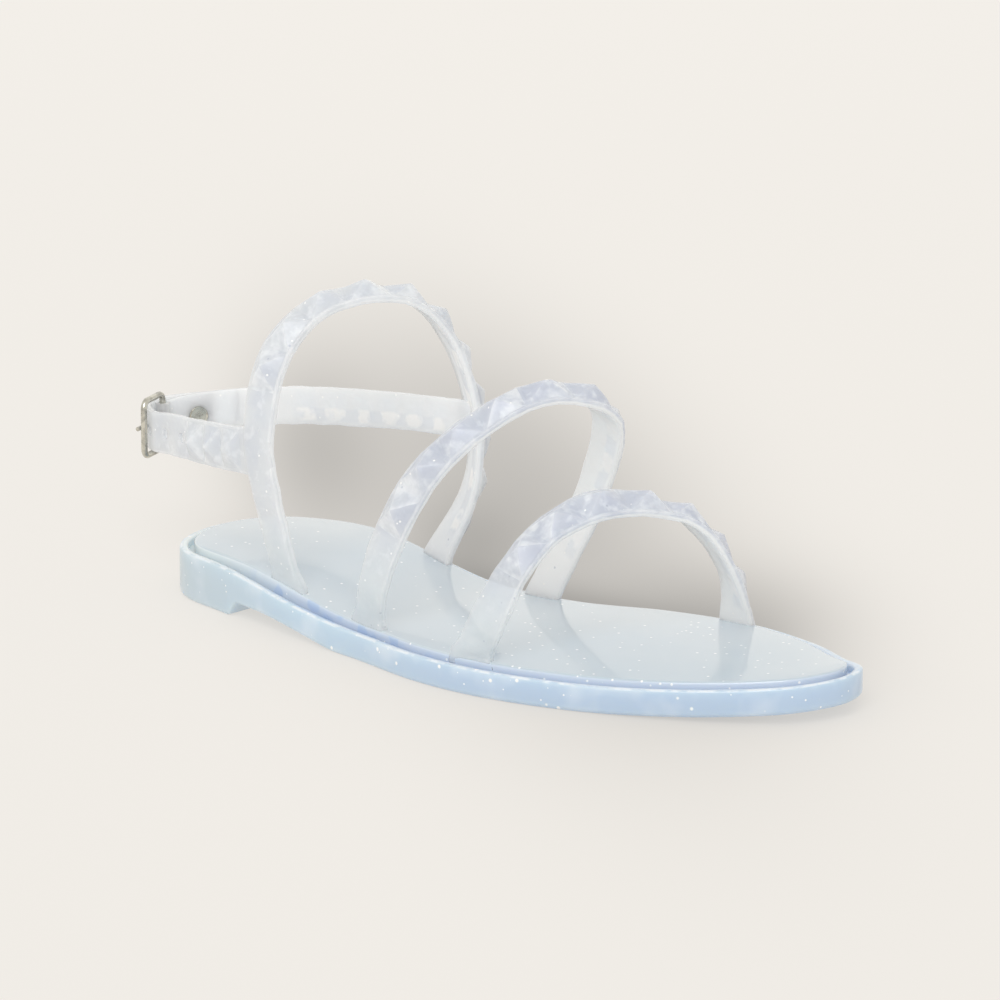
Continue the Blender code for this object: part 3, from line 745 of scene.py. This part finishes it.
def clear_pvc(strap):
    """Clear milky PVC, cloudy, with painted light and shade: each stud facet painted a little bright or
    lavender as it bends the light, painted shade on the crowns and painted light on the inner faces.

    Painted highlights show as bright spots through the inner face with painted shade round them, painted
    dark reflections lie as short slits beside some studs, and the legs turn sea green and clearer near the
    sole.
    """
    shader, place = new_material(f"{strap.name}_clear_pvc", strap)
    passed = attribute(place, "passed")
    across = attribute(place, "across_band")
    studded = attribute(place, "on_studs")
    outer = attribute(place, "layer").between(*OUTER_LAYER)
    crown = attribute(place, "crown")
    stud = passed.math("FLOOR")
    ahead = passed.math("FRACT") - 0.5
    forward = place.node("ShaderNodeSeparateXYZ", {}, {0: place})
    inward, height = forward.output(1), forward.output(2)

    front = forward.between(*FRONT_SPAN)
    # Painted shade: the outer face is painted more lavender where it looks up over the crown, most on the
    # toe and mid straps.
    painted_crown_shade = outer * crown.between(*CROWN_SPAN) * (CROWN_SHADE_DEPTH + CROWN_FRONT_SHADE_DEPTH * front)
    cloud = place.mottle(CLOUD_MOTTLE) * CLOUD_DEPTH
    milky = (cloud + painted_crown_shade).between(0.0, 1.0).blend(STRAP_WHITE, STRAP_LAVENDER)
    # Painted light: the faces that are not the outer skin are painted brighter, most on the toe and mid
    # straps, where they face away from the lamp.
    milky = ((1.0 - outer) * (INNER_LIGHT_DEPTH + INNER_FRONT_LIGHT_DEPTH * front)).blend(milky, STRAP_BRIGHT)

    # each of a stud's four facets has a number of its own to draw by
    end_facet = ahead.math("ABSOLUTE") > across.math("ABSOLUTE")
    facing = end_facet * ahead + (1.0 - end_facet) * across
    facet = 4.0 * stud + 2.0 * end_facet + (facing > 0.0)
    luck = place.node("ShaderNodeTexWhiteNoise", {"noise_dimensions": "1D"}, {"W": facet})
    bend = FACET_LUCK * luck + (place.noise(FACET_BLOTCH) - FACET_EVEN)
    on_facet = studded * outer * (1.0 - (across.math("ABSOLUTE") > STUD_EDGE))
    # Painted shade and highlight: each studded facet is painted a little lavender or bright at random, as
    # if it bent the light its own way.
    milky = (on_facet * (1.0 - bend.between(*SHADED_FACET_SPAN)) * SHADED_FACET_DEPTH).blend(milky, STRAP_LAVENDER)
    milky = (on_facet * bend.between(*LIT_FACET_SPAN) * LIT_FACET_DEPTH).blend(milky, STRAP_BRIGHT)
    # Painted highlight: a broken bright glint along the band's edges.
    painted_glint = across.between(*GLINT_SPAN) * place.mottle(GLINT_MOTTLE)
    milky = (painted_glint * GLINT_DEPTH).blend(milky, STRAP_BRIGHT)
    milky = (place.mottle(FROST_MOTTLE) * FROST_DEPTH).blend(milky, STRAP_BRIGHT)

    # Painted highlight: bright spots of the studs seen through the inner face, with painted lavender shade
    # round them.
    behind = studded * (1.0 - outer) * across.between(*SPOT_FROM) * (1.0 - across.between(*SPOT_TO))
    uneven = SPOT_UNEVEN * (place.noise(SPOT_BLOTCH) - 0.5)
    spot_highlight = 1.0 - (ahead.math("ABSOLUTE") + uneven).between(*SPOT_AHEAD)
    milky = (behind * (1.0 - spot_highlight) * SPOT_SHADE_DEPTH).blend(milky, STRAP_LAVENDER)
    milky = (behind * spot_highlight * SPOT_HIGHLIGHT_DEPTH).blend(milky, FLAKE_AND_HIGHLIGHT_WHITE)

    low = 1.0 - height.between(*LOW_SPAN)
    near = 1.0 - inward.between(*NEAR_SPAN)
    tinted = (low * near * SEA_DEPTH).blend(milky, STRAP_SEA)
    # Painted dark reflection: short dark slits on the outer face beside some studs.
    number = REFLECTION_DRAW_STEP * stud + REFLECTION_DRAW_START
    luck = place.node("ShaderNodeTexWhiteNoise", {"noise_dimensions": "1D"}, {"W": number})
    slit_reflection = studded * outer * (luck > REFLECTION_CHANCE) * (1.0 - ahead.math("ABSOLUTE").between(*SLIT_REFLECTION_AHEAD))
    slit_reflection = slit_reflection * across.between(*SLIT_REFLECTION_FROM) * (1.0 - across.between(*SLIT_REFLECTION_TO))
    slit_reflection = slit_reflection * place.mottle(SLIT_REFLECTION_MOTTLE)
    tinted = (slit_reflection * SLIT_REFLECTION_DEPTH).blend(tinted, DARK_FLECK_AND_REFLECTION)
    tinted = (place.flakes(*DARK_FLAKES) * DARK_FLAKE_DEPTH).blend(tinted, DARK_FLECK_AND_REFLECTION)

    # faces seen from inside the wall are left clear, so that only the outer skin shows
    inside = place.node("ShaderNodeNewGeometry", {}, {}, output="Backfacing")
    ripple = {"Strength": 0.35, "Distance": 0.0004, "Height": place.noise(RIPPLE_SIZE, RIPPLE_DETAIL)}
    feed(
        shader,
        {
            "Base Color": place.flakes(*STRAP_FLAKES).blend(tinted, FLAKE_AND_HIGHLIGHT_WHITE),
            "Roughness": 0.2,
            "Subsurface Weight": 0.9,
            "Subsurface Radius": (0.95, 1.0, 1.0),
            "Subsurface Scale": 0.008,
            "IOR": 1.45,
            "Alpha": (BAND_ALPHA - low * (LOW_CLEAR + NEAR_CLEAR * near)) * (1.0 - inside),
            "Normal": place.node("ShaderNodeBump", {}, ripple),
        },
    )
    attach(strap, "root")


toe_route = loop_route(TOE_ROOTS, TOE_ROUTE)
toe_strap = strap_piece("studded_toe_strap", toe_route, STRAP_WALL, TOE_STUDS, True)
mark_points(toe_strap, [Run(toe_route, TOE_STUDS)])
soften(toe_strap)
set_down(toe_strap, STRAP_SMOOTH)
clear_pvc(toe_strap)
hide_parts("toe_strap")

mid_route = loop_route(MID_ROOTS, MID_ROUTE)
mid_strap = strap_piece("studded_mid_strap", mid_route, STRAP_WALL, MID_STUDS, True)
mark_points(mid_strap, [Run(mid_route, MID_STUDS)])
soften(mid_strap)
set_down(mid_strap, STRAP_SMOOTH)
clear_pvc(mid_strap)
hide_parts("mid_strap")


# Ankle strap: a studded loop over the instep with a plain outer post, moulded in one with the sling arm on
# the inner side and the holed belt on the outer side. The arm ends in an eye round the buckle's far bar.
ANKLE_STUDS = Studs(64.8, 13.5, 11)
ARM_STUDS = Studs(10.0, 10.5, 6)
BELT_STUDS = Studs(72.0, 10.5, 3)
SLING_WALL = 2.0
BELT_HOLE = 3.4
BELT_HOLES = (24.0, 46.0, 57.0, 68.0)
HOLE_REACH = 4.0
ARM_HOLE = 6.2
ARM_HOLE_BACK = 13.0
ARM_HOLE_DROP = 1.2
ARM_HOLE_REACH = 12.0
PIN_SIDES = 40
FRAME_WIRE = 1.0
PRONG_WIRE = 0.7
PRONG_OVERHANG = 0.5
EYE_WALL = 1.0
EYE_LENGTH = 11.5
EYE_BAR = Vector((-14.8, -4.6, 47.6))
BELT_BAR = Vector((-10.6, -17.0, 47.6))
UP = Vector((0.0, 0.0, 1.0))
ANKLE_ROOTS = (64.0, 74.2)
ANKLE_ROUTE = (
    Bend(59.8, -34.5, 40.0, 9.8),
    Bend(55.0, -33.5, 60.0, 11.0),
    Bend(55.0, -26.0, 83.5, 12.0),
    Bend(60.0, -10.0, 97.0, 11.0, -8.0, 6.0),
    Bend(71.0, 11.0, 98.0, 11.0, -16.0, 6.0),
    Bend(76.5, 27.0, 84.0, 11.5, -24.0),
    Bend(82.0, 33.5, 58.0, 11.5, -30.0),
    Bend(81.0, 32.8, 34.5, 11.0, -30.0),
)
ARM_ROUTE = (
    Bend(83.0, 32.0, 57.0, 12.0),
    Bend(56.0, 34.0, 54.8, 11.5),
    Bend(35.0, 32.3, 53.0, 12.0),
    Bend(18.0, 29.3, 51.5, 12.0),
    Bend(4.0, 24.0, 50.2, 12.0),
    Bend(-6.5, 16.5, 49.0, 12.0),
    Bend(-13.0, 6.0, 48.3, 12.0),
    Bend(*EYE_BAR, 12.0),
)
BELT_ROUTE = (
    Bend(-5.5, 20.5, 49.4, 10.0),
    Bend(-16.0, 7.0, 48.4, 11.0),
    Bend(-19.2, -5.6, 47.6, 12.0),
    Bend(-8.0, -15.8, 47.6, 12.5),
    Bend(5.0, -20.3, 49.3, 13.0),
    Bend(22.5, -25.8, 51.0, 13.5),
    Bend(39.5, -30.2, 52.8, 14.0),
    Bend(57.0, -33.9, 54.5, 15.0),
)


def pin(place, axis, radius, length):
    """Round bar centred on a place, along an axis."""
    bpy.ops.mesh.primitive_cylinder_add(
        vertices=PIN_SIDES, radius=radius, depth=length, location=place,
        rotation=axis.to_track_quat("Z", "Y").to_euler(),
    )
    made = bpy.context.object
    bpy.ops.object.transform_apply(location=True, rotation=True, scale=True)
    return made


def combine(piece, other, operation):
    """Joins another piece on, or cuts it out, and uses it up."""
    bpy.ops.object.select_all(action="DESELECT")
    bpy.context.view_layer.objects.active = piece
    modifier = piece.modifiers.new(operation, "BOOLEAN")
    modifier.operation = operation
    modifier.solver = "EXACT"
    modifier.object = other
    bpy.ops.object.modifier_apply(modifier=modifier.name)
    bpy.data.objects.remove(other)


loop = loop_route(ANKLE_ROOTS, ANKLE_ROUTE)
arm_route = Route(ARM_ROUTE, upright=True)
belt_route = Route(BELT_ROUTE, upright=True)
ankle_strap = strap_piece("studded_ankle_strap", loop, STRAP_WALL, ANKLE_STUDS, True)
arm = strap_piece("arm", arm_route, SLING_WALL, ARM_STUDS, False)
belt = strap_piece("belt", belt_route, SLING_WALL, BELT_STUDS, False)
bore = FRAME_WIRE + GAP
bars = (BELT_BAR - EYE_BAR).normalized()
prong_offset = FRAME_WIRE + GAP + PRONG_WIRE
prong_line = 0.5 * (EYE_BAR + BELT_BAR) + prong_offset * bars.cross(UP)
prong_reach = (BELT_BAR - EYE_BAR).length + 2.0 * PRONG_OVERHANG
combine(ankle_strap, arm, "UNION")
combine(ankle_strap, belt, "UNION")
combine(ankle_strap, pin(EYE_BAR, UP, bore + EYE_WALL, EYE_LENGTH), "UNION")
combine(ankle_strap, pin(EYE_BAR, UP, bore, 2.0 * EYE_LENGTH), "DIFFERENCE")
ring = bore + 2.0 * PRONG_WIRE + GAP
combine(ankle_strap, pin(EYE_BAR, UP, ring, 2.0 * (PRONG_WIRE + GAP)), "DIFFERENCE")
combine(ankle_strap, pin(prong_line, bars, PRONG_WIRE + 2.0 * GAP, prong_reach), "DIFFERENCE")
place, across, arm_outward, _ = arm_route.frame(arm_route.length - ARM_HOLE_BACK)
arm_hole = place + ARM_HOLE_DROP * across
combine(ankle_strap, pin(arm_hole, arm_outward, 0.5 * ARM_HOLE, ARM_HOLE_REACH), "DIFFERENCE")
for length in BELT_HOLES:
    place, _, outward, _ = belt_route.frame(length)
    combine(ankle_strap, pin(place, outward, 0.5 * BELT_HOLE, HOLE_REACH), "DIFFERENCE")
runs = [Run(loop, ANKLE_STUDS), Run(arm_route, ARM_STUDS), Run(belt_route, BELT_STUDS)]
mark_points(ankle_strap, runs)
soften(ankle_strap)
set_down(ankle_strap, STRAP_SMOOTH)
clear_pvc(ankle_strap)
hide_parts("ankle_strap")


# Buckle: a plated wire frame that stands upright behind the heel, held in the arm's eye, with a prong
# hooked on the same bar, through the belt and out over the near bar.
FRAME_HEIGHT = 19.5
FRAME_CORNER = 2.5
CORNER_STEPS = 8
WIRE_ROUND = 6
WIRE_SMOOTH = 40.0
WELD = 0.001
PRONG_STEPS = 16
HOOK_START, HOOK_END = 40.0, 270.0
PLATED = (0.70, 0.68, 0.60, 1.0)
PLATED_DARK = (0.34, 0.33, 0.30, 1.0)
PLATED_ROUGH, DARK_PATCH_ROUGH = 0.2, 0.15
DARK_PATCH_MOTTLE = Mottle(2.5, 0.45, 0.7, 4.0)


def wire_piece(name, points, radius, closed):
    """Round wire through points on the buckle's own plane, made a mesh and turned between its two bars."""
    curve = bpy.data.curves.new(name, "CURVE")
    curve.dimensions = "3D"
    curve.bevel_depth = radius
    curve.bevel_resolution = WIRE_ROUND
    curve.use_fill_caps = True
    spline = curve.splines.new("POLY")
    spline.points.add(len(points) - 1)
    for point, place in zip(spline.points, points):
        point.co = (*place, 1.0)
    spline.use_cyclic_u = closed
    wire = bpy.data.objects.new(name, curve)
    bpy.context.scene.collection.objects.link(wire)
    bpy.ops.object.select_all(action="DESELECT")
    wire.select_set(True)
    bpy.context.view_layer.objects.active = wire
    bpy.ops.object.convert(target="MESH")
    wire = bpy.context.object
    start_piece(name)
    bpy.ops.mesh.select_all(action="SELECT")
    bpy.ops.mesh.remove_doubles(threshold=WELD)
    end_piece()
    turn = Matrix.Rotation(math.atan2(bars.y, bars.x), 4, "Z")
    wire.data.transform(Matrix.Translation(0.5 * (EYE_BAR + BELT_BAR)) @ turn)
    set_down(wire, WIRE_SMOOTH)
    return wire


def plated_steel(wire):
    """Bright plating, duller and darker in soft random patches."""
    shader, place = new_material(f"{wire.name}_plating", wire)
    dark_patches = place.mottle(DARK_PATCH_MOTTLE)
    feed(
        shader,
        {
            "Base Color": dark_patches.blend(PLATED, PLATED_DARK),
            "Metallic": 1.0,
            "Roughness": PLATED_ROUGH + DARK_PATCH_ROUGH * dark_patches,
        },
    )
    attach(wire, "root")


half_length = 0.5 * (BELT_BAR - EYE_BAR).length
half_height = 0.5 * FRAME_HEIGHT - FRAME_WIRE
frame_points = []
for corner, (side, level) in enumerate(((1, 1), (-1, 1), (-1, -1), (1, -1))):
    centre = Vector((side * (half_length - FRAME_CORNER), 0.0, level * (half_height - FRAME_CORNER)))
    for step in range(CORNER_STEPS + 1):
        angle = math.radians(90.0 * (corner + step / CORNER_STEPS))
        frame_points.append(centre + FRAME_CORNER * Vector((math.cos(angle), 0.0, math.sin(angle))))
buckle_frame = wire_piece("plated_buckle_frame", frame_points, FRAME_WIRE, True)
plated_steel(buckle_frame)
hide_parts("buckle_frame")

prong_points = []
for step in range(PRONG_STEPS + 1):
    angle = math.radians(HOOK_START + (HOOK_END - HOOK_START) * step / PRONG_STEPS)
    prong_points.append((prong_offset * math.cos(angle) - half_length, prong_offset * math.sin(angle), 0.0))
prong_points.append((half_length + PRONG_OVERHANG, -prong_offset, 0.0))
buckle_prong = wire_piece("plated_buckle_prong", prong_points, PRONG_WIRE, False)
plated_steel(buckle_prong)
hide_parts("buckle_prong")


# Rivet: a plated cap pressed into the round hole of the arm, close to the eye that it holds shut. Both its
# faces are dished inside a rounded rim that stands a little proud of the strap.
RIVET_PROUD = 0.4
RIVET_RIM = 0.5
RIVET_DISH = 0.3
RIVET_ROUND = 0.15
RIVET_SEGMENTS = 3
RIVET_ANGLE = 0.5

rivet = pin(arm_hole, arm_outward, 0.5 * ARM_HOLE, SLING_WALL + 2.0 * RIVET_PROUD)
start_piece("plated_rivet")
pick(rivet, "FACE", lambda item: abs(item.normal.dot(arm_outward)) > 0.9)
bpy.ops.mesh.inset(thickness=RIVET_RIM, depth=-RIVET_DISH, use_individual=True)
pick(rivet, "EDGE", lambda item: item.calc_face_angle(0.0) > RIVET_ANGLE)
bpy.ops.mesh.bevel(offset=RIVET_ROUND, segments=RIVET_SEGMENTS, affect="EDGES", clamp_overlap=True)
end_piece()
set_down(rivet, WIRE_SMOOTH)
plated_steel(rivet)


# Studio: a wide cream floor with soft pools of shade painted into its colour behind the shoe, an even cream
# sky, one broad soft lamp from the camera's side and a weak card of light behind the shoe, which gives the
# footbed its gloss. Part of the floor's brightness is its own painted glow, which lightens shadows on it.
# A pool's place, length and width are in millimetres from the middle of the shoe, its turn in degrees.
FLOOR_SIZE = 8.0
FLOOR_CREAM = (0.31, 0.302, 0.294, 1.0)
FLOOR_PAINTED_GLOW = (0.566, 0.545, 0.514, 1.0)
DARK = (0.0, 0.0, 0.0, 1.0)
SKY_CREAM = (1.0, 0.985, 0.94, 1.0)
SKY_STRENGTH = 0.75
KEY_STRENGTH = 1.1
KEY_SPREAD = 40.0
KEY_TURN, KEY_RISE = 30.0, 42.0
CARD_WIDTH, CARD_HEIGHT = 2.4, 1.4
CARD_POWER = 2.6
CARD_DISTANCE = 1.8
CARD_TURN, CARD_RISE = 222.0, 22.0

Pool = namedtuple("Pool", "depth forward across turn length width")
PAINTED_SHADE_POOLS = (
    Pool(0.37, -105.0, 135.0, -40.0, 245.0, 55.0),
    Pool(0.28, -195.0, 130.0, 45.0, 25.0, 145.0),
    Pool(0.31, 50.0, 60.0, -50.0, 70.0, 35.0),
    Pool(0.18, -75.0, 75.0, -45.0, 60.0, 20.0),
    Pool(0.22, -25.0, 45.0, 0.0, 85.0, 20.0),
)

bpy.ops.mesh.primitive_plane_add(size=FLOOR_SIZE)
floor = bpy.context.object
floor.name = "floor"
shader, place = new_material("cream_floor", floor)
forward = place.node("ShaderNodeSeparateXYZ", {}, {0: place})
inward = forward.output(1)
# Painted shadow: soft pools of shade painted darker into the floor's colour and glow behind the shoe.
shade = 0.0
for pool in PAINTED_SHADE_POOLS:
    turn = math.radians(pool.turn)
    east, north = forward - MM * pool.forward, inward - MM * pool.across
    along = (math.cos(turn) * east + math.sin(turn) * north) * (1.0 / (MM * pool.length))
    across = (math.cos(turn) * north - math.sin(turn) * east) * (1.0 / (MM * pool.width))
    shade = shade + pool.depth * (0.0 - along * along - across * across).math("EXPONENT")
# Painted light: part of the floor's brightness is a glow of its own, which keeps the shadows cast on it
# light.
feed(
    shader,
    {
        "Base Color": shade.blend(FLOOR_CREAM, DARK),
        "Emission Color": shade.blend(FLOOR_PAINTED_GLOW, DARK),
        "Emission Strength": 1.0,
        "Roughness": 0.9,
        "Specular IOR Level": 0.0,
    },
)

world = bpy.data.worlds.new("studio")
bpy.context.scene.world = world
world.use_nodes = True
sky = world.node_tree.nodes["Background"]
sky.inputs["Color"].default_value = SKY_CREAM
sky.inputs["Strength"].default_value = SKY_STRENGTH


def seen_from(turn, rise):
    """Direction towards a place at a turn round the shoe and a rise above the floor, in degrees."""
    a, e = math.radians(turn), math.radians(rise)
    return Vector((math.sin(a) * math.cos(e), -math.cos(a) * math.cos(e), math.sin(e)))


key_data = bpy.data.lights.new("soft_key", "SUN")
key_data.energy = KEY_STRENGTH
key_data.angle = math.radians(KEY_SPREAD)
key = bpy.data.objects.new("soft_key", key_data)
bpy.context.scene.collection.objects.link(key)
key.rotation_euler = seen_from(KEY_TURN, KEY_RISE).to_track_quat("Z", "Y").to_euler()

card_data = bpy.data.lights.new("back_card", "AREA")
card_data.shape = "RECTANGLE"
card_data.size, card_data.size_y = CARD_WIDTH, CARD_HEIGHT
card_data.energy = CARD_POWER
card = bpy.data.objects.new("back_card", card_data)
bpy.context.scene.collection.objects.link(card)
card.location = CARD_DISTANCE * seen_from(CARD_TURN, CARD_RISE)
card.rotation_euler = seen_from(CARD_TURN, CARD_RISE).to_track_quat("Z", "Y").to_euler()


# Camera: a long lens two metres off, before the outer side of the toe and a little above the straps.
# Its aim lies a little off the point that it looks at, so that the shoe lies as in the photo.
CAMERA_TURN, CAMERA_RISE = 42.0, 15.11
CAMERA_DISTANCE = 2.0
CAMERA_LENS = 240.05
LOOKED_AT = Vector((125.0, 0.0, 30.0))
AIM_RIGHT, AIM_UP = -1.57, 14.94

back = seen_from(CAMERA_TURN, CAMERA_RISE)
right = UP.cross(back).normalized()
up = back.cross(right)
middle = HEEL_BACK + MM * LOOKED_AT
camera_data = bpy.data.cameras.new("camera")
camera_data.lens = CAMERA_LENS
camera = bpy.data.objects.new("camera", camera_data)
bpy.context.scene.collection.objects.link(camera)
camera.location = middle + CAMERA_DISTANCE * back
aim = middle + MM * (AIM_RIGHT * right + AIM_UP * up)
camera.rotation_euler = (camera.location - aim).to_track_quat("Z", "Y").to_euler()
bpy.context.scene.camera = camera
bpy.context.scene.view_settings.view_transform = "Standard"
